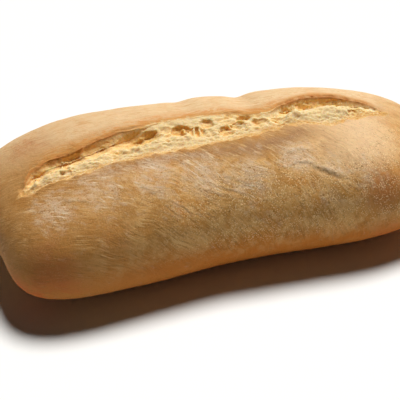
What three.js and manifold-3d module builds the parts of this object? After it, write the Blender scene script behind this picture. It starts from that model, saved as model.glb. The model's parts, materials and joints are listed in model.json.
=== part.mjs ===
// A ciabatta: a chunky, slipper-shaped white loaf, baked in one piece on its flat base, whose top crust has
// burst open along its length. Millimetres. +X runs along the loaf, +Y across it towards the back and +Z up.
// The origin is on the base, under the middle of the loaf's box.
import * as THREE from "three";
import { LoftGeometry } from "three/addons/geometries/LoftGeometry.js";
import { mergeVertices } from "three/addons/utils/BufferGeometryUtils.js";
import Module from "manifold-3d";

const wasm = await Module();
wasm.setup();

// The dough's own box, before it burst.
const length = 280;
const width = 128;
const height = 70;

// How the dough settled. It is widest at the bulge and curls in below that to the base.
const bulgeHeight = 26;
const baseCut = 6; // how much of the rounded underside the flat base takes away
const bow = 13; // how far both ends swing to the front of the middle
const bowMiddle = -12; // where along the loaf that swing begins
const waist = 3.5; // half width lost at the middle
const waistReach = 62; // how far along the loaf the waist is felt
const leftFlare = 5.5; // half width gained at the left end
const rightTaper = 7; // half width lost at the right end
const rightFall = 5; // crown height lost at the right end

// How square the outline and the section are: 2 is an ellipse, and more is squarer.
const leftSquareness = 4.4;
const rightSquareness = 4;
const crownSquareness = 2.5;
const curlSquareness = 2.15;

// Soft dips across the crust behind the burst, where one swelling of the dough meets the next.
const dips = [
  { at: -19, depth: 1.4, reach: 11 },
  { at: 18, depth: 3, reach: 15 },
];

// The burst along the crown. Each lip, seen from above, is a list of its share of the way from the burst's left
// end to its right end, and its place across the loaf.
const burstLeft = 19; // from the loaf's left end to the burst's
const burstRight = 29; // from the burst's right end to the loaf's
const frontLip = [
  [0, -12.5],
  [0.06, -15],
  [0.3, -14.5],
  [0.46, -15.3],
  [0.6, -12],
  [0.72, -7.5],
  [0.8, -11.5],
  [0.88, -4.5],
  [1, 3],
];
const rearLip = [
  [0, -12.5],
  [0.08, 4],
  [0.15, 6],
  [0.3, 12.5],
  [0.45, 15],
  [0.56, 12],
  [0.65, 7.5],
  [0.73, 16],
  [0.82, 21],
  [0.91, 15],
  [1, 3],
];
const burstDepth = 10; // below the lips, at the burst's widest
const burstTaper = 0.8; // under 1, the burst stays deep close to its narrow ends

// A section of what the burst opened, as shares of its width from the front lip and of its depth. The torn crumb
// stands almost as high as the front lip, and falls away to a trough that undercuts the rear lip.
const burstSection = [
  [0, 0],
  [0.08, -0.2],
  [0.22, -0.24],
  [0.38, -0.1],
  [0.5, -0.22],
  [0.63, -0.62],
  [0.76, -0.93],
  [0.9, -1],
  [1.01, -0.88],
  [1.06, -0.6],
  [1.04, -0.25],
  [1, 0],
  [0.97, 0.8],
  [0.03, 0.8],
];

// Facets.
const columns = 44;
const rows = 20;
const layers = 12;
const burstStations = 40;

const crust = new THREE.MeshStandardMaterial({ color: 0xc79b60, roughness: 0.8, metalness: 0 });

// A closed geometry as a solid, for joining and cutting.
function solidOf(geometry) {
  const bare = new THREE.BufferGeometry().copy(geometry);
  bare.deleteAttribute("normal");
  bare.deleteAttribute("uv");
  const merged = mergeVertices(bare, 1e-4);
  return new wasm.Manifold(
    new wasm.Mesh({
      numProp: 3,
      vertProperties: merged.getAttribute("position").array,
      triVerts: new Uint32Array(merged.index.array),
    }),
  );
}

function geometryOf(solid) {
  const mesh = solid.getMesh();
  const geometry = new THREE.BufferGeometry();
  geometry.setAttribute("position", new THREE.BufferAttribute(mesh.vertProperties, 3));
  geometry.setIndex(new THREE.BufferAttribute(mesh.triVerts, 1));
  geometry.computeVertexNormals();
  return geometry;
}

// Lays a point of the unit block, each of x, y and z from -1 to 1, out in the dough.
function settle(point) {
  const { x, y, z } = point;
  const left = Math.max(-x, 0);
  const right = Math.max(x, 0);
  const along = (x * length) / 2;
  const narrowing = waist * Math.exp(-((along / waistReach) ** 2));
  const across = y * (width / 2 - narrowing + leftFlare * left - rightTaper * right);
  const share = (along - bowMiddle) / (length / 2);
  const swing = Math.atan((2 * bow * share) / (length / 2)); // sections stay square to the bowed middle line
  point.x = along + across * Math.sin(swing);
  point.y = across * Math.cos(swing) - bow * share ** 2;
  point.z = bulgeHeight + z * (bulgeHeight + baseCut);
  if (z > 0) {
    const dip = dips.reduce((sum, d) => sum + d.depth * Math.exp(-(((along - d.at) / d.reach) ** 2)), 0);
    const behind = THREE.MathUtils.smoothstep(y, 0, 0.5);
    point.z = bulgeHeight + z * (height - bulgeHeight - rightFall * right ** 3 - dip * behind);
  }
}

// The whole loaf before it burst: a block pushed out to rounded sides, settled, and cut flat by its base.
function doughSolid() {
  const block = new THREE.BoxGeometry(2, 2, 2, columns, rows, layers);
  const places = block.getAttribute("position");
  const point = new THREE.Vector3();
  for (let i = 0; i < places.count; i++) {
    point.fromBufferAttribute(places, i);
    const squareness = point.x < 0 ? leftSquareness : rightSquareness;
    const roll = point.z > 0 ? crownSquareness : curlSquareness;
    const outline = Math.abs(point.x) ** squareness + Math.abs(point.y) ** squareness;
    point.multiplyScalar((outline ** (roll / squareness) + Math.abs(point.z) ** roll) ** (-1 / roll));
    settle(point);
    places.setXYZ(i, point.x, point.y, point.z);
  }
  const below = new THREE.BoxGeometry(2 * length, 2 * width, 2 * baseCut);
  below.translate(0, 0, -baseCut);
  return solidOf(block).subtract(solidOf(below));
}

// The dough, centred on the origin and brought to its own length, width and height.
function doughGeometry() {
  const geometry = geometryOf(doughSolid());
  geometry.computeBoundingBox();
  const size = geometry.boundingBox.getSize(new THREE.Vector3());
  const middle = geometry.boundingBox.getCenter(new THREE.Vector3());
  geometry.translate(-middle.x, -middle.y, 0);
  geometry.scale(length / size.x, width / size.y, height / size.z);
  return geometry;
}

// A lip as evenly spaced points that lie on the dough.
function lipPoints(lip, dough) {
  const start = burstLeft - length / 2;
  const end = length / 2 - burstRight;
  const curve = new THREE.CatmullRomCurve3(
    lip.map(([share, across]) => new THREE.Vector3(THREE.MathUtils.lerp(start, end, share), across, 0)),
  );
  const down = new THREE.Vector3(0, 0, -1);
  return curve.getSpacedPoints(burstStations).map((point) => {
    const ray = new THREE.Raycaster(point.clone().setZ(2 * height), down);
    return point.setZ(ray.intersectObject(dough)[0].point.z);
  });
}

// What the burst opened: its section at each station between the lips, joined from end to end.
function burstSolid(dough) {
  const front = lipPoints(frontLip, dough);
  const rear = lipPoints(rearLip, dough);
  const gaps = front.map((point, i) => point.distanceTo(rear[i]));
  const widest = Math.max(...gaps);
  const rings = [];
  for (let i = 1; i < burstStations; i++) {
    const depth = burstDepth * (gaps[i] / widest) ** burstTaper;
    const ring = burstSection.map(([across, lift]) => {
      const point = new THREE.Vector3().lerpVectors(front[i], rear[i], across);
      return point.setZ(point.z + lift * depth);
    });
    rings.push(ring);
  }
  return solidOf(new LoftGeometry(rings, { capStart: true, capEnd: true }));
}

const dough = new THREE.Mesh(doughGeometry());
const loaf = new THREE.Mesh(geometryOf(solidOf(dough.geometry).subtract(burstSolid(dough))), crust);
loaf.name = "loaf";

const ciabatta = new THREE.Group();
ciabatta.add(loaf);
export default ciabatta;
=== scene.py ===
import json
import math

import bpy
import numpy as np
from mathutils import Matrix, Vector, noise
from mathutils.bvhtree import BVHTree

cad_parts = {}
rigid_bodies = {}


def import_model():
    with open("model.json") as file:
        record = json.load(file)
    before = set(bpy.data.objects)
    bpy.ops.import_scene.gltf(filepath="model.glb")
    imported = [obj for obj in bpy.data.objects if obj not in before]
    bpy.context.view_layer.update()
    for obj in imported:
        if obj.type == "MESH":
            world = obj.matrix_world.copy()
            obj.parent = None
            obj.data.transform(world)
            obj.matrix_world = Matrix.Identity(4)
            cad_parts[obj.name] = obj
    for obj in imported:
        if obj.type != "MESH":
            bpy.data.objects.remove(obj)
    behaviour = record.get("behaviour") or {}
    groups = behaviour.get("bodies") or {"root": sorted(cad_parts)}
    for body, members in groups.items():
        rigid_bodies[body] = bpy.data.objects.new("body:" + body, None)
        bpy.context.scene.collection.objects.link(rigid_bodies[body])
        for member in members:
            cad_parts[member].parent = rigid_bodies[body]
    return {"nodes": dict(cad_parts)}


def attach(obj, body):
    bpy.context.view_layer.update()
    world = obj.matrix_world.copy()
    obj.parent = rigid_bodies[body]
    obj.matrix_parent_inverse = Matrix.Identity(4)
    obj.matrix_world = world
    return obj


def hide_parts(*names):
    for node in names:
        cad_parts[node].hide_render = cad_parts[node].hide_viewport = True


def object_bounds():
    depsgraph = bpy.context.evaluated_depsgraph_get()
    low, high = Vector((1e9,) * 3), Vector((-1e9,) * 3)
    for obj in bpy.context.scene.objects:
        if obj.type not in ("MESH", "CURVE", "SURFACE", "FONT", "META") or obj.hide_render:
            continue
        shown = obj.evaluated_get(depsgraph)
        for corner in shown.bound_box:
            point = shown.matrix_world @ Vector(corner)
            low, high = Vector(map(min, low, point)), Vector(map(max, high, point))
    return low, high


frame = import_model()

mm = 0.001
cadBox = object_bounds()
bpy.ops.object.select_all(action="DESELECT")

# Camera, floor and light. Angles are in degrees and sizes in mm.

studio = {
    "cameraAim": (-14.4, -12.8, 28.9),
    "cameraAway": 625,
    "cameraTurn": -15.34,  # 0 looks along +Y
    "cameraLift": 39.31,
    "cameraLens": 96.5,
    "sensor": 36,
    "floorSize": 12000,
    "floorShade": (0.9, 0.9, 0.89),
    "keyTurn": 137,  # where the light comes from, on the camera's scale
    "keyLift": 64,
    "keyStrength": 4.0,
    "keySpread": 19,  # the light's own width, which softens the shadow's edge
    "keyShade": (1.0, 0.985, 0.96),
    "roomShade": (0.72, 0.86, 0.76),
    "roomStrength": 0.028,
}


def outward(turn, lift):
    a, e = math.radians(turn), math.radians(lift)
    return Vector((math.sin(a) * math.cos(e), -math.cos(a) * math.cos(e), math.sin(e)))


def makeCamera():
    aim = Vector(studio["cameraAim"]) * mm
    away = outward(studio["cameraTurn"], studio["cameraLift"])
    bpy.ops.object.camera_add(location=aim + away * studio["cameraAway"] * mm)
    camera = bpy.context.object
    camera.name = "camera"
    camera.rotation_euler = away.to_track_quat("Z", "Y").to_euler()
    camera.data.lens = studio["cameraLens"]
    camera.data.sensor_width = studio["sensor"]
    camera.data.clip_end = 50
    bpy.context.scene.camera = camera


def makeStudio():
    bpy.ops.mesh.primitive_plane_add(size=studio["floorSize"] * mm, location=(0, 0, cadBox[0].z - 0.05 * mm))
    floor = bpy.context.object
    floor.name = "floor"
    material = bpy.data.materials.new("plainFloor")
    material.use_nodes = True
    shader = material.node_tree.nodes["Principled BSDF"]
    shader.inputs["Base Color"].default_value = (*studio["floorShade"], 1)
    shader.inputs["Roughness"].default_value = 0.9
    shader.inputs["Specular IOR Level"].default_value = 0.1
    floor.data.materials.append(material)
    away = outward(studio["keyTurn"], studio["keyLift"])
    bpy.ops.object.light_add(type="SUN", location=away * 2)
    key = bpy.context.object
    key.name = "keyLight"
    key.rotation_euler = away.to_track_quat("Z", "Y").to_euler()
    key.data.energy = studio["keyStrength"]
    key.data.angle = math.radians(studio["keySpread"])
    key.data.color = studio["keyShade"]
    world = bpy.data.worlds.new("room")
    world.use_nodes = True
    background = world.node_tree.nodes["Background"]
    background.inputs["Color"].default_value = (*studio["roomShade"], 1)
    background.inputs["Strength"].default_value = studio["roomStrength"]
    bpy.context.scene.world = world
    bpy.context.scene.view_settings.view_transform = "Standard"


makeCamera()
makeStudio()
print("camera, floor and light are set")

# Small tools for shaping. All the shaping is worked out in mm.


def ease(low, high, value):
    t = np.clip((value - low) / (high - low), 0, 1)
    return t * t * (3 - 2 * t)


def bump(value, middle, reach):
    return np.exp(-(((value - middle) / reach) ** 2))


def lineAt(points, where):
    # a smooth line through a few points, read off at many places
    px, py = np.array(points, float).T
    slope = np.gradient(py, px)
    i = np.clip(np.searchsorted(px, where) - 1, 0, len(px) - 2)
    span = px[i + 1] - px[i]
    u = np.clip((where - px[i]) / span, 0, 1)
    start = py[i] * (1 + 2 * u) * (1 - u) ** 2 + slope[i] * span * u * (1 - u) ** 2
    return start + py[i + 1] * u * u * (3 - 2 * u) + slope[i + 1] * span * u * u * (u - 1)


def roughness(points, size, seed, stretch=(1, 1, 1)):
    # plain noise of about one bump to each size, from -1 to 1
    shift = Vector((seed * 17.3, seed * 5.1, seed * 9.7))
    scaled = points / (size * np.array(stretch, float))
    return np.array([noise.noise(Vector(p) + shift) for p in scaled])


def cells(points, size, seed):
    # how far each point is inside its own bubble: 0 on the walls between bubbles, 1 deep inside
    shift = Vector((seed * 3.7, seed * 11.9, seed * 6.1))
    gaps = []
    for p in points / size:
        near = noise.voronoi(Vector(p) + shift)[0]
        gaps.append(near[1] - near[0])
    return np.clip(np.array(gaps) * 1.6, 0, 1)


def spots(points, places):
    # round patches that fade out: the strongest at each point, from (place, reach, strength)
    total = np.zeros(len(points))
    for centre, reach, strength in places:
        total = np.maximum(total, strength * bump(np.linalg.norm(points - centre, axis=1), 0, reach))
    return total


def readPoints(piece):
    values = np.empty(len(piece.data.vertices) * 3)
    piece.data.vertices.foreach_get("co", values)
    return values.reshape(-1, 3) / mm


def readNormals(piece):
    values = np.empty(len(piece.data.vertices) * 3, np.float32)
    piece.data.vertex_normals.foreach_get("vector", values)
    return values.reshape(-1, 3).astype(float)


def writePoints(piece, points):
    piece.data.vertices.foreach_set("co", (points * mm).ravel())
    piece.data.update()


def paint(piece, name, values):
    layer = piece.data.attributes.new(name, "FLOAT", "POINT")
    layer.data.foreach_set("value", np.clip(values, 0, 1).astype(np.float32))


def editFaces(piece, chosen, *steps):
    # picks faces of the piece by their centres, in mm, and runs edit mode operators on them
    centres = np.empty(len(piece.data.polygons) * 3)
    piece.data.polygons.foreach_get("center", centres)
    piece.data.vertices.foreach_set("select", [False] * len(piece.data.vertices))
    piece.data.edges.foreach_set("select", [False] * len(piece.data.edges))
    piece.data.polygons.foreach_set("select", chosen(centres.reshape(-1, 3) / mm))
    bpy.ops.object.mode_set(mode="EDIT")
    bpy.ops.mesh.select_mode(type="FACE")
    for step in steps:
        step()
    bpy.ops.object.mode_set(mode="OBJECT")


# The loaf. It is shaped over a copy of the frame's plain loaf.

loafShape = {
    "grain": 1.85,  # the mesh's grain over the crust
    "smoothing": 24,
    "swells": [(42, 0.9), (17, 0.4), (6, 0.12)],  # (size, height) of the crust's unevenness
    "dents": [(24, 38, 6, 22, 1.6), (-12, 42, 6, 20, 1.2)],  # (along, across, their reaches, depth)
    "corner": ((-128, -58, 14), 20, 3.0),  # the front left corner's own fullness: place, reach, height
    "foldDark": 1.7,  # the drop at which the painted shade in a fold's crease is as dark as it gets
    "foldPale": 0.9,  # the rise at which it is as pale as it gets
}

burst = {
    "leftMargin": 19,  # from the loaf's left end
    "rightMargin": 29,
    "frontLip": [  # (share of the way along the burst, place across the loaf)
        (0, -12.5), (0.06, -15), (0.3, -14.5), (0.46, -15.3), (0.6, -12),
        (0.72, -7.5), (0.8, -11.5), (0.88, -4.5), (1, 3),
    ],
    "rearLip": [
        (0, -12.5), (0.08, 4), (0.15, 6), (0.3, 12.5), (0.45, 15), (0.56, 12),
        (0.65, 7.5), (0.73, 16), (0.82, 21), (0.91, 15), (1, 3),
    ],
    "depth": 10,
    "stations": 100,  # places along the burst where the crust's height is read
    "readAt": (-1.5, 3),  # how far from the front and the rear lip it is read, across the loaf
    "opening": (3, 14),  # gaps between the lips where the burst starts to act, and where it acts in full
    "above": 3,  # how far above and below the lips crumb can lie
    "below": 16,
    "filled": 0.97,  # how far torn crumb fills the middle of the burst
    "filledElsewhere": 0.38,
    "lean": 0.45,  # how far the rear wall leans back, for each mm of its depth
    "filledFrom": (-64, -30),  # along the loaf
    "filledTo": (28, 46),
    "webFill": 0.6,  # how high a web stands, as a share of the depth
    "webWidth": 0.9,
    "mound": 2.6,  # how far the crumb stands up at the right
    "moundFrom": (34, 50),
    "moundTo": (88, 104),
    "lumps": [(9, 1.3), (3.4, 0.8), (1.5, 0.45)],  # (size, height)
    "cellSize": 5,
    "cellDepth": 1.7,
    "poreSize": 1.7,
    "poreDepth": 0.45,
    "crest": 1.5,  # how jagged the crumb's crest is
    "lipWander": 1.2,  # the rear lip, across the loaf
    "frontWander": 1.3,
    "frontRise": 0.5,
    "lobes": 1.6,  # how much more the rear lip wanders at the left
    "lobesTo": (-75, -45),
    "lipRise": 0.8,
    "lipRoll": 1.8,  # width of the rounded edge of the rear lip
    "lipDrop": 0.9,  # how far that edge turns down
    "lipSoftening": 10,
    "untangling": 6,  # rounds of smoothing faces that turned over
    "raggedness": 0.035,  # of the line between crust and crumb, as a share of the burst's width
    "layers": 0.4,  # height of the ridges that run along behind the rear lip
}

# The largest bubbles that the burst tore open: (along, across, half length, half width, depth).
bubbles = [
    (-101, -2, 6, 4, 1.5),
    (-92, -1, 5, 4, 1.5),
    (-82, 1, 6, 4, 1.5),
    (-70, 4, 7, 5, 1.5),
    (-46, 4, 15, 7.5, 6.0),
    (-30, 7, 5, 4, 2.0),
    (-21, 4, 6.5, 6, 5.0),
    (-13, 1, 5, 5, 4.5),
    (-5, 6, 5, 4.5, 3.5),
    (4, -3, 5, 4, 3.5),
    (11, 0, 5, 4, 3.0),
    (17, 6, 5, 3.5, 3.0),
    (25, 0, 6, 4, 2.5),
    (36, 0, 5, 4, 2.0),
    (47, 10, 7, 4, 2.0),
    (60, 13, 8, 4, 2.5),
    (72, 10, 4, 5, 2.5),
    (84, 9, 7, 4, 2.0),
    (96, 5, 5, 3, 1.5),
]

# Thin webs of crumb left standing in the bubbles: (along, across) from end to end.
webs = [
    ((-19, 7), (-18, -4)),
    ((-13, 6), (-15, -5)),
    ((-10, 5), (-11, -3)),
    ((8, 9), (8, 2)),
    ((-1, 8), (0, -2)),
    ((-106, -2), (-107, -9)),
    ((-90, 5), (-92, -7)),
]

# Folds of the crust as (along, across) points, then how high each stands behind its line, how deep it drops
# in front of it, and how wide that is.
folds = [
    ([(43, -38.5), (47, -40.5), (51, -42.5), (55, -44.5), (61, -47)], 0.4, 0.5, 1.5),
    ([(27, -34), (32, -30), (37, -28), (41, -28), (46, -31)], 0.4, 0.05, 1.6),
    ([(30, -38), (35, -35.5), (38, -36.5), (41, -36), (45, -38)], 0.45, 0.15, 1.0),
    ([(22, -33), (25, -36), (30, -39)], 0.25, 0.1, 0.9),
    ([(-22, -26), (-16, -30), (-8, -34)], 0.2, 0.05, 1.4),
    ([(-27, -39), (-20, -42), (-11, -45), (-3, -47)], 0.22, 0.07, 0.8),
    ([(-24, -36), (-16, -39), (-8, -43), (2, -46)], 0.22, 0.06, 0.8),
    ([(-30, -24), (-24, -28.5), (-19, -34)], 0.2, 0.05, 1.4),
    ([(-44, -46), (-39, -50), (-33, -53)], 0.1, 0.12, 0.6),
    ([(-41, -44), (-34, -48), (-28, -52)], 0.18, 0.1, 0.6),
    ([(-46, -22), (-38, -27), (-31, -33)], 0.2, 0.05, 1.4),
    ([(-60, -30), (-52, -36), (-46, -42)], 0.2, 0.05, 1.4),
    ([(-98, -30), (-88, -34), (-78, -42)], 0.25, 0.1, 1.5),
    ([(-8, -36), (0, -40), (8, -44)], 0.2, 0.08, 1.1),
]


def copyOfLoaf():
    source = frame["nodes"]["loaf"]
    piece = bpy.data.objects.new("ciabatta", source.data.copy())
    bpy.context.scene.collection.objects.link(piece)
    piece.select_set(True)
    bpy.context.view_layer.objects.active = piece
    piece.data.materials.clear()
    everything = lambda centres: [True] * len(centres)
    editFaces(piece, everything, lambda: bpy.ops.mesh.remove_doubles(threshold=0.01 * mm))
    piece.data.remesh_voxel_size = loafShape["grain"] * mm
    bpy.ops.object.voxel_remesh()
    return piece


def burstShare(xs):
    start = cadBox[0].x / mm + burst["leftMargin"]
    end = cadBox[1].x / mm - burst["rightMargin"]
    return (xs - start) / (end - start)


def crownLine(piece):
    # the crust's height just outside each lip, at stations along the burst
    tree = BVHTree.FromObject(piece, bpy.context.evaluated_depsgraph_get())
    share = np.linspace(0, 1, burst["stations"])
    start = cadBox[0].x / mm + burst["leftMargin"]
    xs = start + share / (burstShare(1) - burstShare(0))
    crown = {"x": xs}
    down = Vector((0, 0, -1))
    for name, line, out in zip(("front", "rear"), ("frontLip", "rearLip"), burst["readAt"]):
        ys = lineAt(burst[line], share) + out
        hits = [tree.ray_cast(Vector((x * mm, y * mm, 1)), down)[0] for x, y in zip(xs, ys)]
        crown[name] = np.array([hit.z / mm for hit in hits])
    return crown


def burstPlaces(points, crown):
    # where each point lies in the burst: share across it from the front lip, its width there and the depth
    along = burstShare(points[:, 0])
    front = lineAt(burst["frontLip"], along)
    gap = np.maximum(lineAt(burst["rearLip"], along) - front, 0.01)
    across = (points[:, 1] - front) / gap
    level = np.interp(points[:, 0], crown["x"], crown["front"]) * (1 - across)
    level += np.interp(points[:, 0], crown["x"], crown["rear"]) * across
    inside = (along > 0) & (along < 1)
    return np.where(inside, across, -9), np.where(inside, gap, 0), level - points[:, 2]


def openness(gap):
    return ease(*burst["opening"], gap)


def withinDepth(depth):
    return (depth > -burst["above"]) * (depth < burst["below"])


def smoothCrust(piece, crown):
    points = readPoints(piece)
    across, gap, depth = burstPlaces(points, crown)
    torn = ease(-0.12, -0.02, across) * (1 - ease(1.02, 1.14, across)) * ease(40, 50, points[:, 2])
    group = piece.vertex_groups.new(name="crust")
    for i, weight in enumerate(1 - torn):
        if weight > 0.01:
            group.add([i], float(weight), "REPLACE")
    modifier = piece.modifiers.new("smoothing", "SMOOTH")
    modifier.factor = 0.5
    modifier.iterations = loafShape["smoothing"]
    modifier.vertex_group = "crust"
    bpy.ops.object.modifier_apply(modifier=modifier.name)
    piece.vertex_groups.clear()


def foldPlaces(points, line):
    # distance from a fold's line, positive in front of it, and how far along it, as a share
    line = np.array(line, float)
    best = np.full(len(points), 1e9)
    side = np.zeros(len(points))
    where = np.zeros(len(points))
    for i in range(len(line) - 1):
        step = line[i + 1] - line[i]
        t = np.clip(((points[:, :2] - line[i]) @ step) / (step @ step), 0, 1)
        away = points[:, :2] - line[i] - t[:, None] * step
        distance = np.hypot(away[:, 0], away[:, 1])
        closer = distance < best
        turn = step[1] * away[:, 0] - step[0] * away[:, 1]
        best = np.where(closer, distance, best)
        side = np.where(closer, np.sign(turn), side)
        where = np.where(closer, (i + t) / (len(line) - 1), where)
    return best * side, where


def refine(piece, crown):
    def nearBurst(centres):
        across, gap, depth = burstPlaces(centres, crown)
        margin = 2.5 / np.maximum(gap, 1)
        return (across > -margin) & (across < 1 + 1.6 * margin) & (depth > -4) & (depth < burst["below"])

    def nearFolds(centres, widths, margin):
        near = np.zeros(len(centres), bool)
        for line, rise, drop, width in folds:
            distance, where = foldPlaces(centres, line)
            near |= np.abs(distance) < widths * width + margin
        return near & (centres[:, 2] > 40)

    split = lambda: bpy.ops.mesh.subdivide(number_cuts=1)
    settle = lambda: bpy.ops.mesh.vertices_smooth(factor=0.5, repeat=2)
    for widths, margin in ((2.2, 1), (1.2, 0.3)):
        chosen = lambda centres: nearBurst(centres) | nearFolds(centres, widths, margin)
        editFaces(piece, chosen, split, settle)


def foldHeights(points):
    height = np.zeros(len(points))
    shade = np.zeros(len(points))
    crest = np.zeros(len(points))
    for i, (line, rise, drop, width) in enumerate(folds):
        distance, where = foldPlaces(points, line)
        near = np.nonzero((np.abs(distance) < 5 * width) & (points[:, 2] > 38))[0]
        d = distance[near] + 0.5 * roughness(points[near], 3, 30 + i)
        fade = np.sqrt(np.clip(np.sin(math.pi * np.clip(where[near], 0.02, 0.98)), 0, 1))
        fade *= 1 - ease(3 * width, 5 * width, np.abs(d))
        back = rise * bump(d, -0.9 * width, width)
        dip = drop * bump(d, 0.75 * width, 0.75 * width)
        height[near] += fade * (back - dip)
        shade[near] = np.maximum(shade[near], fade * dip / loafShape["foldDark"])
        crest[near] = np.maximum(crest[near], fade * back / loafShape["foldPale"])
    return height, shade, crest


def openBubbles(points):
    # the largest hollows are pushed down and back under the rear lip, around the webs that stand in them
    push = np.zeros(len(points))
    for x, y, length, width, deep in bubbles:
        far = np.hypot((points[:, 0] - x) / length, (points[:, 1] - y) / width)
        push = np.maximum(push, deep * np.clip(1 - far**2, 0, 1) ** 0.7)
    for web in webs:
        away = np.abs(foldPlaces(points, web)[0]) + 0.5 * roughness(points, 2, 40)
        push *= 1 - 0.85 * bump(away, 0, 0.7)
    return push


def fillBurst(points, crown):
    # torn crumb fills the burst's middle, stands up in its right part and leaves webs across its left part
    across, gap, depth = burstPlaces(points, crown)
    xs = points[:, 0]
    wide = openness(gap)
    within = ease(-0.02, 0.1, across) * (1 - ease(1.12, 1.2, across)) * withinDepth(depth)
    middle = ease(*burst["filledFrom"], xs) * (1 - ease(*burst["filledTo"], xs))
    deepest = burst["filledElsewhere"] + (burst["filled"] - burst["filledElsewhere"]) * middle
    fill = deepest * within * ease(0.3, 0.6, across)
    points[:, 1] -= burst["lean"] * np.clip(depth, 0, 9) * ease(0.85, 1.0, across) * within * (1 - middle)
    for web in webs:
        away = np.abs(foldPlaces(points, web)[0]) + 0.6 * roughness(points, 2, 40)
        standing = bump(away, 0, burst["webWidth"]) * (xs < burst["filledFrom"][1])
        fill = np.maximum(fill, burst["webFill"] * within * standing)
    points[:, 1] -= fill * np.maximum(across - 0.96, 0) * gap * (depth > 0.3)
    points[:, 2] += fill * np.maximum(depth, 0)
    stand = bump(across, 0.4, 0.25) * ease(*burst["moundFrom"], xs) * (1 - ease(*burst["moundTo"], xs))
    jagged = np.abs(roughness(points * (1, 0.5, 0), 4.5, 26)) * bump(across, 0.48, 0.14)
    points[:, 2] += (burst["mound"] * stand + burst["crest"] * jagged) * within * wide
    return middle


def shapeLips(points, crown, middle):
    # both lips wander, and the rear one swells and rolls over
    across, gap, depth = burstPlaces(points, crown)
    alongOnly = points * (1, 0, 0)
    wide = openness(gap)
    behind = (across - 1) * gap
    wander = roughness(alongOnly, 13, 21) + 0.6 * roughness(alongOnly, 5, 22)
    lobed = burst["lipWander"] + burst["lobes"] * (1 - ease(*burst["lobesTo"], points[:, 0]))
    points[:, 1] += lobed * wander * wide * bump(behind, 0, 3.5)
    onTop = depth < 2.5
    swell = (0.75 + 0.6 * roughness(alongOnly, 17, 23)) * wide * (across > 0.5) * onTop * (1 - 0.6 * middle)
    points[:, 2] += burst["lipRise"] * swell * bump(behind, 2, 4)
    points[:, 2] -= burst["lipDrop"] * wide * ease(-burst["lipRoll"], 0, -behind) * (behind > 0) * onTop
    ahead = across * gap
    wander = roughness(alongOnly, 8, 24) + 0.7 * roughness(alongOnly, 3, 25)
    points[:, 1] += burst["frontWander"] * wander * wide * bump(ahead, 0, 3)
    points[:, 2] += burst["frontRise"] * (0.5 + wander) * wide * bump(ahead, 0, 1.2)


def roundLip(piece, crown):
    def nearLip(centres):
        across, gap, depth = burstPlaces(centres, crown)
        return (gap > 2) & (np.abs((across - 1) * gap) < 2.8) & (depth > -5) & (depth < 3.5)

    soften = lambda: bpy.ops.mesh.vertices_smooth(factor=0.5, repeat=burst["lipSoftening"])
    editFaces(piece, nearLip, soften)


def flattenTangles(piece, crown):
    # faces that turned over where the crumb meets the rear lip are smoothed out
    more = lambda: bpy.ops.mesh.select_more()
    soften = lambda: bpy.ops.mesh.vertices_smooth(factor=0.5, repeat=6)
    for attempt in range(burst["untangling"]):
        normals = np.empty(len(piece.data.polygons) * 3, np.float32)
        piece.data.polygons.foreach_get("normal", normals)
        down = normals.reshape(-1, 3)[:, 2] < -0.05

        def turnedOver(centres):
            across, gap, depth = burstPlaces(centres, crown)
            return down & (gap > 2) & (np.abs((across - 1) * gap) < 6) & (depth > -6) & (depth < 1.4)

        editFaces(piece, turnedOver, more, soften)


def tearCrumb(points, across, gap, depth, middle, torn):
    # how far each torn point moves along its normal, and how much painted shade its place gets for lying low
    offset = np.zeros(len(points))
    hollowShade = np.zeros(len(points))
    inner = np.nonzero(torn > 0.01)[0]
    near = points[inner]
    drawn = near * (0.6, 1, 1)  # the crumb was pulled out along the loaf
    wide = openness(gap[inner])
    bend = np.stack([roughness(near, 6, s) for s in (5, 6, 7)], 1)
    cell = cells(drawn + 3 * bend, burst["cellSize"], 2) * ease(-0.15, 0.3, roughness(near, 11, 12))
    pore = cells(drawn + 0.4 * bend, burst["poreSize"], 3)
    sunk = np.maximum(ease(0.8, 3.5, depth[inner]), middle[inner])
    held = torn[inner] * np.where(across[inner] > 0.8, sunk, 1)
    held *= 1 - 0.8 * middle[inner] * bump(across[inner], 1.04, 0.12)  # it meets the rear lip
    held *= 1 - 0.35 * (1 - middle[inner]) * ease(0.5, 0.75, across[inner])
    sheltered = ease(0.1, 0.3, across[inner]) * wide
    push = -burst["cellDepth"] * cell * sheltered - burst["poreDepth"] * pore
    for i, (size, height) in enumerate(burst["lumps"]):
        push += height * roughness(drawn, size, 13 + i) * (0.35 + 0.65 * sheltered)
    offset[inner] = push * held
    hollowShade[inner] = (0.1 - push) / 2
    opened = np.zeros(len(points))
    opened[inner] = openBubbles(near) * held * (0.4 + 0.6 * wide)
    return offset, hollowShade, opened


def tornShare(places, middle, ragged):
    # 1 where the crumb is bare and 0 on the crust
    across, gap, depth = places
    line = across + burst["raggedness"] * ragged
    torn = ease(-0.01, 0.03, line) * (1 - ease(1.0, 1.03, line)) * withinDepth(depth)
    rim = ease(0.75, 0.88, across) * (1 - ease(0.9, 2.2, depth + 0.8 * ragged)) * (1 - middle)
    under = (across > 0.9) * (1 - ease(1.2, 1.3, across)) * ease(1.0, 2.2, depth) * (depth < burst["below"])
    return np.maximum(torn, under) * (1 - rim) * ease(1, 4, gap)


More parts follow.
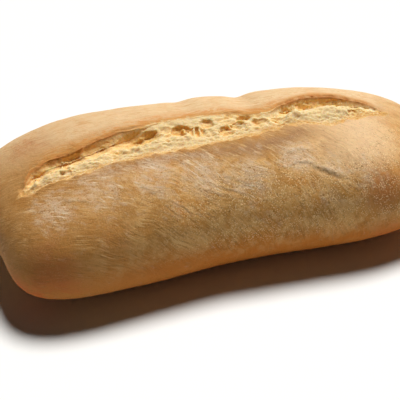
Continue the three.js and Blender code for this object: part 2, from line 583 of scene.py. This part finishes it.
def swellCrust(points, places, torn, offset):
    # adds the crust's unevenness, dents, folds and ridges, and says how much painted shade each point gets in
    # a fold's crease and how raised it is
    across, gap, depth = places
    clear = ease(1, 8, points[:, 2])  # the base stays flat
    for i, (size, height) in enumerate(loafShape["swells"]):
        offset += height * clear * roughness(points, size, i + 1)
    for x, y, reachX, reachY, deep in loafShape["dents"]:
        offset -= deep * bump(points[:, 0], x, reachX) * bump(points[:, 1], y, reachY) * (points[:, 2] > 30)
    offset += clear * spots(points, [loafShape["corner"]])
    folded, creaseShading, ridged = foldHeights(points)
    offset += folded * (1 - torn)
    behind = (across - 1) * gap
    layered = ease(0.5, 2.5, behind) * (1 - ease(7, 14, behind)) * openness(gap) * (1 - torn)
    offset += burst["layers"] * layered * roughness(points, 2.2, 29, (10, 1, 1))
    return creaseShading, ridged


# Where the colours change, in mm. Most are the places where a change begins and ends.

zones = {
    "lipLevel": 4,  # how far above and below the lips their colours reach
    "narrow": (5, 12),  # gaps between the lips
    "burnishedFrom": (-100, -60),  # these are along the loaf
    "burnishedTo": (40, 60),
    "burnishedMost": (24, 22),  # where it is widest, and how far that reaches
    "stripeFades": (34, 50),
    "leftTip": (-104, -76),
    "cavityShadeTo": (-66, -46),
    "leftEndToastAndShade": (-130, -10),
    "ends": (80, 130),  # from the middle, either way
    "paleAndLitTopFrom": (20, 90),
    "grainsFrom": (-70, 5),
    "lowTilts": (-60, 20),
    "rearFrom": 13,  # these are across it
    "grainsBefore": (-20, 0),
    "low": (8, 54),  # and these are heights
    "paleAndLitTopAbove": (52, 64),
    "grainsAbove": (24, 34),
    "grainsBelow": (60, 66),
}


def paintBurst(piece, points, places, middle, torn, ragged):
    across, gap, depth = places
    xs = points[:, 0]
    ahead = across * gap
    behind = (across - 1) * gap
    wide = openness(gap)
    level = np.abs(depth) < zones["lipLevel"]
    paint(piece, "frontLip", ease(-1.6, 0.6, ahead) * (1 - ease(2.5, 8, ahead)) * ease(2, 9, gap) * level)
    paint(piece, "rearLip", bump(behind, 0.8, 2.4) * wide * level)
    reach = 4 + 5 * bump(xs, *zones["burnishedMost"])
    burnished = ease(*zones["burnishedFrom"], xs) * (1 - ease(*zones["burnishedTo"], xs))
    paint(piece, "burnish", bump(ahead, -1 - reach, reach) * burnished * level)
    fading = ease(*zones["stripeFades"], xs)
    striped = ease(-2, 1, behind) * (1 - ease(6 - 3 * fading, 12 - 5 * fading, behind))
    paint(piece, "stripe", striped * wide * (1 - 0.5 * fading) * (depth < 6))
    # painted shade: a darker brown line along the rear lip's rounded edge, away from the middle
    paint(piece, "edge", bump(behind, 0, 1.6) * wide * (1 - middle) * (depth < 4))
    paint(piece, "narrow", 1 - ease(*zones["narrow"], gap))
    paint(piece, "depth", np.maximum(depth, 0) / burst["depth"] * torn)
    paint(piece, "wall", ease(0.62, 0.8, across) * (1 - 0.8 * middle))
    # painted shade: the crumb behind, in the left part of the burst, is darkened
    tip = 1 - ease(*zones["leftTip"], xs)
    cavityShade = ease(0.45, 0.62, across + 0.05 * ragged + 0.14 * tip)
    paint(piece, "cavityShade", cavityShade * (1 - ease(*zones["cavityShadeTo"], xs)))


def paintCrust(piece, points, torn):
    xs, ys, zs = points.T
    paint(piece, "toast", spots(points, toastSpots))
    paint(piece, "flour", spots(points, flourSpots))
    paint(piece, "low", 1 - ease(*zones["low"], zs + 6 * ease(*zones["lowTilts"], xs)))
    # the left end is darker: partly toasting, partly painted shade, as the light falls from the right
    paint(piece, "leftEndToastAndShade", 1 - ease(*zones["leftEndToastAndShade"], xs))
    ends = ease(*zones["ends"], np.abs(xs))
    turned = (ys + 8 * ends * roughness(points, 14, 31) - zones["rearFrom"]) / (8 + 22 * ends)
    paint(piece, "rear", ease(-1, 1, turned) * (1 - torn))
    # the right top is lighter: partly paler crust, partly painted light where the key light falls
    paint(piece, "paleAndLitTop", ease(*zones["paleAndLitTopFrom"], xs) * ease(*zones["paleAndLitTopAbove"], zs))
    band = ease(*zones["grainsAbove"], zs) * (1 - ease(*zones["grainsBelow"], zs))
    band *= 1 - ease(*zones["grainsBefore"], ys)
    paint(piece, "grains", band * (0.1 + 0.9 * ease(*zones["grainsFrom"], xs)))


def makeLoaf():
    piece = copyOfLoaf()
    crown = crownLine(piece)
    smoothCrust(piece, crown)
    refine(piece, crown)
    print("loaf remeshed:", len(piece.data.vertices), "points")

    points = readPoints(piece)
    middle = fillBurst(points, crown)
    places = burstPlaces(points, crown)
    shapeLips(points, crown, middle)
    writePoints(piece, points)
    roundLip(piece, crown)
    flattenTangles(piece, crown)
    print("burst filled and its lips rounded")

    points = readPoints(piece)
    normals = readNormals(piece)
    ragged = roughness(points, 3, 27) + 0.6 * roughness(points, 1.2, 28)
    torn = tornShare(places, middle, ragged)
    offset, hollowShade, opened = tearCrumb(points, *places, middle, torn)
    creaseShading, raised = swellCrust(points, places, torn, offset)
    upright = (middle * torn * ease(0.8, 0.9, places[0]))[:, None]
    points += (normals * (1 - upright) + np.array([0, 0, 1]) * upright) * offset[:, None]
    points += opened[:, None] * np.array([0, 0.4, -0.9])
    points[:, 2] = np.maximum(points[:, 2], cadBox[0].z / mm)
    writePoints(piece, points)
    flattenTangles(piece, crown)
    print("crumb torn and crust swelled")

    paint(piece, "crumb", torn)
    paint(piece, "hollowShade", hollowShade + opened / 5)
    paint(piece, "creaseShade", creaseShading)
    paint(piece, "ridge", raised)
    paintBurst(piece, points, places, middle, torn, ragged)
    paintCrust(piece, points, torn)
    bpy.ops.object.shade_smooth()
    return piece


# Materials.


class Value:
    # a socket that can be used in plain arithmetic
    def __init__(self, nodes, socket):
        self.nodes = nodes
        self.socket = socket

    def math(self, operation, first, second):
        return self.nodes.add("ShaderNodeMath", {"operation": operation}, {0: first, 1: second})

    def __add__(self, other):
        return self.math("ADD", self, other)

    def __sub__(self, other):
        return self.math("SUBTRACT", self, other)

    def __rsub__(self, other):
        return self.math("SUBTRACT", other, self)

    def __mul__(self, other):
        return self.math("MULTIPLY", self, other)

    __radd__ = __add__
    __rmul__ = __mul__

    def between(self, low, high):
        # 0 below low and 1 above high
        limits = {"Value": self, "From Min": low, "From Max": high}
        return self.nodes.add("ShaderNodeMapRange", {"interpolation_type": "SMOOTHSTEP"}, limits)


class Nodes:
    def __init__(self, material):
        self.tree = material.node_tree
        self.tree.nodes.clear()

    def add(self, kind, settings=None, inputs=None, output=0):
        node = self.tree.nodes.new(kind)
        for name, value in (settings or {}).items():
            setattr(node, name, value)
        for name, value in (inputs or {}).items():
            if isinstance(value, Value):
                self.tree.links.new(value.socket, node.inputs[name])
            else:
                node.inputs[name].default_value = value
        return Value(self, node.outputs[output]) if node.outputs else node

    def mix(self, share, under, over):
        # colours: share 0 gives the one under, 1 the one over
        settings = {"data_type": "RGBA", "blend_type": "MIX"}
        return self.add("ShaderNodeMix", settings, {0: share, 6: colour(under), 7: colour(over)}, 2)

    def attribute(self, name):
        return self.add("ShaderNodeAttribute", {"attribute_name": name}, {}, "Fac")

    def noise(self, place, size, detail=3, rough=0.55, distortion=0):
        values = {"Vector": place, "Scale": 1 / size, "Detail": detail}
        values.update({"Roughness": rough, "Distortion": distortion})
        return self.add("ShaderNodeTexNoise", {}, values)

    def vector(self, operation, first, second):
        return self.add("ShaderNodeVectorMath", {"operation": operation}, {0: first, 1: second})

    def fibres(self, place, lay, width, length, detail, rough):
        # noise that changes fast across the lay and slowly along it
        across = self.add("ShaderNodeCombineXYZ", {}, {"X": lay * (1 / width), "Y": lay * (0.3 / width)})
        slow = self.add("ShaderNodeVectorMath", {"operation": "SCALE"}, {0: place, "Scale": 1 / length})
        return self.noise(self.vector("ADD", across, slow), 1, detail, rough, 0.5)


def colour(value):
    # a tone given as three 8-bit numbers, or a socket as it is
    if isinstance(value, Value):
        return value
    channels = [v / 255 for v in value]
    return [c / 12.92 if c <= 0.04045 else ((c + 0.055) / 1.055) ** 2.4 for c in channels] + [1]


crustTones = {
    "tan": (216, 168, 104),
    "gold": (202, 142, 70),
    "olive": (188, 138, 74),
    "low": (188, 110, 36),
    # leftEndToastAndShade: toasting and painted shade over the left end
    "leftEndToastAndShade": (172, 120, 62),
    "toast": (174, 102, 50),
    "ruddy": (190, 88, 36),
    "burnish": (154, 112, 78),
    "golden": (214, 152, 80),
    "flour": (236, 216, 186),
    "strand": (226, 188, 130),
    "veil": (208, 180, 150),
    "rear": (228, 197, 154),
    "stripe": (206, 136, 66),
    "streak": (206, 152, 94),
    # edge: the painted shade line along the rear lip
    "edge": (186, 116, 54),
    # paleAndLitTop: paler crust with painted light, for the right top
    "paleAndLitTop": (236, 204, 164),
    "fibre": (138, 94, 46),
    # creaseShade: painted shade for the folds' creases
    "creaseShade": (146, 104, 54),
    "speck": (244, 212, 160),
    "pit": (112, 74, 38),
}
crumbTones = {
    "cream": (230, 206, 158),
    # shaded: painted shade for the crumb's hollows
    "shaded": (232, 190, 122),
    # amberWithPaintedLight: the rear wall's toasted amber, painted lighter to stand in for light it lacks
    "amberWithPaintedLight": (252, 212, 142),
    # cavityShade: painted shade for the left part of the burst
    "cavityShade": (236, 194, 130),
    "tip": (194, 142, 80),
    "golden": (208, 156, 90),
    "grain": (214, 174, 112),
    # pore: painted shade for the low places of the crumb's fine bumps
    "pore": (226, 172, 98),
}

# How each finish takes the light. Lengths are in mm.
crustFinish = {"roughness": 0.72, "specular": 0.14, "glow": 0.08, "glowDepth": 1.0}
crumbFinish = {"roughness": 0.85, "specular": 0.12, "glow": 0.85, "glowDepth": 3.0}
crumbGlowReach = (1.0, 0.8, 0.5)  # red, green and blue

# The sizes of the patterns, in mm.
patterns = {
    "drift": 30,  # patterns are pushed about by noise of this size
    "driftBy": 14,
    "mottle": 24,
    "patch": 9,
    "strewn": 9,
    "flourDrift": 6,
    "scatter": 5,
    "roughness": 4,
    "speck": 1.2,
    "crumbGrain": 1.1,
    "dots": 0.9,
}

# Where the crust is toasted and where flour lies thick: (place, reach, strength).
toastSpots = [
    ((-107, -57, 36), 19, 0.85),
    ((-74, -57, 50), 14, 0.45),
    ((-122, -50, 12), 22, 0.8),
    ((83, -53, 47), 17, 0.85),
    ((100, -50, 44), 20, 0.6),
    ((84, -56, 20), 16, 0.5),
    ((118, -38, 18), 28, 0.6),
    ((134, 5, 20), 26, 0.5),
    ((-138, 12, 18), 22, 0.5),
    ((-106, 26, 57), 16, 0.55),
    ((20, 62, 18), 36, 0.4),
    ((-80, 60, 16), 30, 0.5),
]
flourSpots = [
    ((-101, -34, 58), 15, 0.9),
    ((-72, -31, 64), 20, 0.8),
    ((-44, -28, 66), 18, 0.95),
    ((6, -40, 60), 16, 1.0),
    ((-18, -33, 65), 18, 0.9),
    ((36, -31, 65), 13, 1.0),
    ((56, -42, 59), 11, 0.7),
    ((72, -44, 56), 16, 0.6),
    ((-36, -48, 57), 13, 0.4),
    ((14, -52, 48), 15, 0.3),
    ((50, -51, 50), 16, 0.5),
    ((60, 44, 60), 26, 0.35),
    ((-50, 50, 50), 26, 0.35),
]

# The dough was drawn round its front left corner, so its fibres run in arcs about this place.
flow = {"centre": (-100, -58, 15), "stretch": (0.6, 1, 1), "fine": 0.9, "broad": 3.2, "length": 6.5}


def crustShader(nodes, place, drifting):
    rear = nodes.attribute("rear")
    flour = nodes.attribute("flour")

    # the fibres are arcs on the front and straight lines on the rear
    nearness = nodes.vector("MULTIPLY", drifting, flow["stretch"])
    centre = [c * k for c, k in zip(flow["centre"], flow["stretch"])]
    lay = nodes.add("ShaderNodeVectorMath", {"operation": "DISTANCE"}, {0: nearness, 1: centre}, "Value")
    strewn = nodes.noise(place, patterns["strewn"], 3).between(0.35, 0.65)
    fine = nodes.fibres(place, lay, flow["fine"], flow["length"], 4, 0.62)
    fine = (fine - 0.5) * (0.25 + 0.75 * strewn) + 0.5
    broad = nodes.fibres(drifting, lay, flow["broad"], 1.5 * flow["length"], 3, 0.6)
    rearFine = nodes.noise(nodes.vector("MULTIPLY", drifting, (0.1, 0.8, 0.8)), 1, 4, 0.62)
    mottle = nodes.noise(place, patterns["mottle"], 3)
    patch = nodes.noise(drifting, patterns["patch"], 6, 0.68)
    speck = nodes.noise(place, patterns["speck"], 2, 0.7)
    paleAndLitTop = nodes.attribute("paleAndLitTop")
    low = nodes.attribute("low")
    toast = nodes.attribute("toast")

    # the baked colour, with painted shade and painted light mixed into it
    tone = nodes.mix(mottle.between(0.38, 0.62), crustTones["olive"], crustTones["gold"])
    tone = nodes.mix(patch.between(0.42, 0.58) * 0.85, tone, crustTones["tan"])
    # partly paler crust, partly painted light on the right top
    tone = nodes.mix(paleAndLitTop * 0.75, tone, crustTones["paleAndLitTop"])
    tone = nodes.mix(rear * (0.75 + 0.25 * patch), tone, crustTones["rear"])
    streaked = nodes.attribute("stripe") * rearFine.between(0.42, 0.6)
    tone = nodes.mix(streaked * 0.8, tone, crustTones["stripe"])
    streaks = (1 - rearFine).between(0.46, 0.6) * (0.35 + 0.65 * strewn)
    tone = nodes.mix(rear * streaks * 0.65, tone, crustTones["streak"])
    ruddy = (low - (patch - 0.5) * 0.9).between(0.05, 0.8)
    tone = nodes.mix(ruddy * 0.92, tone, crustTones["low"])
    # partly toasting, partly painted shade at the left end
    tone = nodes.mix(nodes.attribute("leftEndToastAndShade") * (0.75 - 0.5 * rear), tone, crustTones["leftEndToastAndShade"])
    scorch = (toast + (patch - 0.5) * 1.3 + (fine - 0.5) * 0.8).between(0.15, 0.95)
    scorched = nodes.mix(low.between(0.3, 0.9), crustTones["toast"], crustTones["ruddy"])
    tone = nodes.mix(scorch * 0.8, tone, scorched)
    burnt = nodes.attribute("burnish") * (0.4 + 0.6 * patch.between(0.35, 0.6))
    tone = nodes.mix(burnt * 0.85, tone, crustTones["burnish"])
    lips = nodes.attribute("frontLip") + nodes.attribute("rearLip")
    tone = nodes.mix(lips.between(0.1, 1) * (0.35 + 0.6 * patch), tone, crustTones["golden"])
    # painted shade along the rear lip's edge
    tone = nodes.mix(nodes.attribute("edge") * patch.between(0.36, 0.56) * 0.85, tone, crustTones["edge"])

    # fibres and flour, and the painted shade in the folds' creases
    front = 1 - rear
    plain = 1 - paleAndLitTop * 0.75
    bare = 1 - low.between(0.3, 0.85) * 0.9
    hairs = (1 - fine).between(0.47, 0.64) * (0.1 + 0.4 * bare)
    tone = nodes.mix(hairs * front * plain, tone, crustTones["fibre"])
    dusting = fine.between(0.5, 0.62) * (0.2 + 0.8 * broad.between(0.42, 0.58)) * (0.45 + flour * 0.7)
    dusting = dusting * (1 - toast.between(0.2, 0.7) * 0.75)
    dusting = dusting * (1 - low.between(0.1, 0.6) * 0.7)
    dusted = nodes.mix(flour.between(0.2, 0.9), crustTones["strand"], crustTones["flour"])
    tone = nodes.mix(dusting * front * bare, tone, dusted)
    drifts = (nodes.noise(drifting, patterns["flourDrift"], 5, 0.65) - 0.5) * 2.4 + (broad - 0.5) * 1.6
    cloud = (flour * 1.1 + drifts).between(0.25, 1.35)
    tone = nodes.mix(cloud * 0.8 * speck.between(0.25, 0.55), tone, crustTones["veil"])
    dots = {"Vector": place, "Scale": 1 / patterns["dots"]}
    dots = nodes.add("ShaderNodeTexVoronoi", {}, dots, "Distance")
    scatter = nodes.noise(place, patterns["scatter"], 3).between(0.34, 0.56)
    grains = nodes.attribute("grains") * scatter + flour * 0.5
    tone = nodes.mix((1 - dots.between(0.2, 0.42)) * grains * 0.85, tone, crustTones["speck"])
    tone = nodes.mix((1 - speck).between(0.56, 0.72) * (0.25 + 0.4 * grains) * front, tone, crustTones["pit"])
    floured = nodes.attribute("ridge") * (0.2 + 0.6 * speck.between(0.4, 0.6))
    tone = nodes.mix(floured, tone, crustTones["flour"])
    # painted shade: the folds' creases are darkened where they dip
    tone = nodes.mix(nodes.attribute("creaseShade").between(0, 0.3) * 0.5, tone, crustTones["creaseShade"])

    rough = nodes.noise(place, patterns["roughness"], 3)
    height = fine * 0.22 * front + rearFine * 0.22 + speck * 0.18 + rough * 0.35 + dots * 0.06
    relief = nodes.add("ShaderNodeBump", {}, {"Strength": 1, "Distance": mm, "Height": height})
    surface = {
        "Base Color": tone,
        "Roughness": crustFinish["roughness"],
        "Normal": relief,
        "Specular IOR Level": crustFinish["specular"],
        "Subsurface Weight": crustFinish["glow"],
        "Subsurface Scale": crustFinish["glowDepth"] * mm,
    }
    return nodes.add("ShaderNodeBsdfPrincipled", {}, surface)


def crumbShader(nodes, place, drifting):
    grainy = nodes.noise(place, patterns["crumbGrain"], 4, 0.65)
    # painted shade: sunk places of the crumb and opened bubbles turn from cream to the darker shaded tone
    inside = nodes.mix(nodes.attribute("hollowShade").between(0.15, 1), crumbTones["cream"], crumbTones["shaded"])
    # the deep rear wall: toasted amber, painted lighter than it is to stand in for light bounced and
    # scattered into it
    wall = nodes.attribute("depth").between(0.15, 0.6) * nodes.attribute("wall")
    inside = nodes.mix(wall, inside, crumbTones["amberWithPaintedLight"])
    wall = (wall + nodes.attribute("rearLip") * nodes.attribute("wall")).between(0, 1)
    # painted shade: the low places of the crumb's fine bumps take the darker pore tone, more so on the rear
    # wall
    inside = nodes.mix((1 - grainy).between(0.45, 0.62) * (0.25 + wall * 0.5), inside, crumbTones["pore"])
    strands = nodes.noise(nodes.vector("MULTIPLY", drifting, (0.13, 1.1, 1.1)), 1, 4, 0.6)
    lips = nodes.attribute("frontLip") + nodes.attribute("rearLip") * 0.8
    # painted shade in the left cavity, deeper where the burst is deep
    dim = nodes.attribute("cavityShade") * (0.55 + 0.45 * nodes.attribute("depth").between(0.05, 0.3))
    inside = nodes.mix(dim * grainy.between(0.3, 0.45), inside, crumbTones["cavityShade"])
    inside = nodes.mix(nodes.attribute("narrow") * 0.75, inside, crumbTones["tip"])
    edge = (lips * 0.8 + nodes.attribute("narrow") * 0.3 + (strands - 0.5) * 2.2).between(0.3, 0.9)
    inside = nodes.mix(edge * 0.9, inside, crumbTones["golden"])
    inside = nodes.mix(grainy.between(0.5, 0.7) * 0.35, inside, crumbTones["grain"])
    relief = nodes.add("ShaderNodeBump", {}, {"Strength": 1, "Distance": mm, "Height": grainy * 0.4})
    surface = {
        "Base Color": inside,
        "Roughness": crumbFinish["roughness"],
        "Normal": relief,
        "Specular IOR Level": crumbFinish["specular"],
        "Subsurface Weight": crumbFinish["glow"],
        "Subsurface Scale": crumbFinish["glowDepth"] * mm,
        "Subsurface Radius": crumbGlowReach,
    }
    return nodes.add("ShaderNodeBsdfPrincipled", {}, surface)


def loafMaterial():
    material = bpy.data.materials.new("crustAndCrumb")
    material.use_nodes = True
    nodes = Nodes(material)
    place = nodes.add("ShaderNodeTexCoord", {}, {}, "Object")
    place = nodes.add("ShaderNodeVectorMath", {"operation": "SCALE"}, {0: place, "Scale": 1 / mm})
    slow = {"Vector": place, "Scale": 1 / patterns["drift"], "Detail": 1}
    slow = nodes.add("ShaderNodeTexNoise", {}, slow, "Color")
    pushed = {0: slow, 1: (patterns["driftBy"],) * 3, 2: place}
    drifting = nodes.add("ShaderNodeVectorMath", {"operation": "MULTIPLY_ADD"}, pushed)
    layers = {0: nodes.attribute("crumb"), 1: crustShader(nodes, place, drifting)}
    layers[2] = crumbShader(nodes, place, drifting)
    surface = nodes.add("ShaderNodeMixShader", {}, layers)
    nodes.add("ShaderNodeOutputMaterial", {}, {"Surface": surface})
    return material


loaf = makeLoaf()
loaf.data.materials.append(loafMaterial())
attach(loaf, "root")
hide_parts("loaf")
print("loaf made:", sum(len(p.vertices) - 2 for p in loaf.data.polygons), "triangles")
